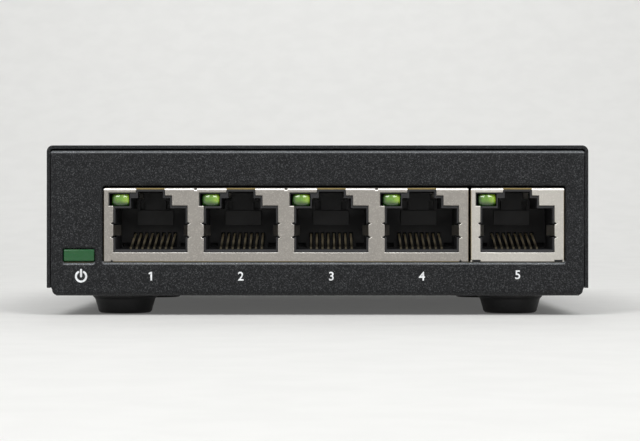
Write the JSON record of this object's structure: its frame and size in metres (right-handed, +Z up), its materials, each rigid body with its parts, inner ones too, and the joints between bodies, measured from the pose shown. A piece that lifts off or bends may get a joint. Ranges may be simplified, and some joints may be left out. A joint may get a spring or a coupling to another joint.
{
  "type": "desktop network switch",
  "caption": "Desktop network switch: folded steel case on rubber feet, with a row of shielded sockets, link lights, power light, barrel inlet and side vents.",
  "frame": {"origin": "on the surface that the feet stand on, under the middle of the case", "axes": "+Z up; +X to the right seen from the sockets; +Y from the sockets to the rear panel"},
  "size_m": [0.094, 0.101, 0.0295],
  "materials": {
    "case_paint": "charcoal powder coat with a fine grey fleck",
    "foot_rubber": "satin black rubber",
    "shield_steel": "bright tin-plated sheet",
    "jack_plastic": "dark grey moulding",
    "contact_gold": "gold-plated spring wire",
    "led_lens": "translucent green",
    "light_pipe": "translucent green",
    "board_laminate": "green solder mask",
    "screw_steel": "zinc plated",
    "cover_screw_black": "black oxide",
    "standoff_brass": "plain",
    "package_black": "moulded package",
    "inlet_plastic": "black moulding",
    "bright_metal": "nickel plated",
    "can_aluminium": "drawn can",
    "ceramic_tan": "ceramic"
  },
  "bodies": {
    "case": {"board_screws": "screw_steel", "board_standoffs": "standoff_brass", "bottom_tray": "case_paint", "chip_capacitors": "ceramic_tan", "chip_resistors": "package_black", "circuit_board": "board_laminate", "cover_screws": "cover_screw_black", "crystal": "bright_metal", "dc_jack_body": "inlet_plastic", "dc_jack_pin": "bright_metal", "dc_jack_terminals": "bright_metal", "flash_chip": "package_black", "foot_front_left": "foot_rubber", "foot_front_right": "foot_rubber", "foot_rear_left": "foot_rubber", "foot_rear_right": "foot_rubber", "input_capacitor": "can_aluminium", "input_fuse": "ceramic_tan", "output_capacitor": "can_aluminium", "port_1_insert": "jack_plastic", "port_1_led": "led_lens", "port_1_terminals": "contact_gold", "port_1_transformer": "package_black", "port_2_insert": "jack_plastic", "port_2_led": "led_lens", "port_2_terminals": "contact_gold", "port_2_transformer": "package_black", "port_3_insert": "jack_plastic", "port_3_led": "led_lens", "port_3_terminals": "contact_gold", "port_3_transformer": "package_black", "port_4_insert": "jack_plastic", "port_4_led": "led_lens", "port_4_terminals": "contact_gold", "port_4_transformer": "package_black", "port_5_insert": "jack_plastic", "port_5_led": "led_lens", "port_5_terminals": "contact_gold", "port_5_transformer": "package_black", "power_inductor": "package_black", "power_led": "package_black", "power_light_pipe": "light_pipe", "protection_diode": "package_black", "quad_jack_housing": "jack_plastic", "quad_jack_shield": "shield_steel", "single_jack_housing": "jack_plastic", "single_jack_shield": "shield_steel", "switch_chip": "package_black", "top_cover": "case_paint", "voltage_regulator": "package_black"},
    "port_1_contact_springs": {"port_1_contacts": "contact_gold"},
    "port_2_contact_springs": {"port_2_contacts": "contact_gold"},
    "port_3_contact_springs": {"port_3_contacts": "contact_gold"},
    "port_4_contact_springs": {"port_4_contacts": "contact_gold"},
    "port_5_contact_springs": {"port_5_contacts": "contact_gold"}
  },
  "joints": [
    {"name": "port_1_contact_flex", "type": "hinge", "parent": "case", "child": "port_1_contact_springs", "pos_m": [-0.029, -0.04785, 0.01178], "axis": [-1, 0, 0], "range_deg": [0, 9], "stiffness_Nm_per_rad": 0.39},
    {"name": "port_2_contact_flex", "type": "hinge", "parent": "case", "child": "port_2_contact_springs", "pos_m": [-0.0133, -0.04785, 0.01178], "axis": [-1, 0, 0], "range_deg": [0, 9], "stiffness_Nm_per_rad": 0.39},
    {"name": "port_3_contact_flex", "type": "hinge", "parent": "case", "child": "port_3_contact_springs", "pos_m": [0.0024, -0.04785, 0.01178], "axis": [-1, 0, 0], "range_deg": [0, 9], "stiffness_Nm_per_rad": 0.39},
    {"name": "port_4_contact_flex", "type": "hinge", "parent": "case", "child": "port_4_contact_springs", "pos_m": [0.0181, -0.04785, 0.01178], "axis": [-1, 0, 0], "range_deg": [0, 9], "stiffness_Nm_per_rad": 0.39},
    {"name": "port_5_contact_flex", "type": "hinge", "parent": "case", "child": "port_5_contact_springs", "pos_m": [0.0347, -0.04785, 0.01178], "axis": [-1, 0, 0], "range_deg": [0, 9], "stiffness_Nm_per_rad": 0.39}
  ]
}
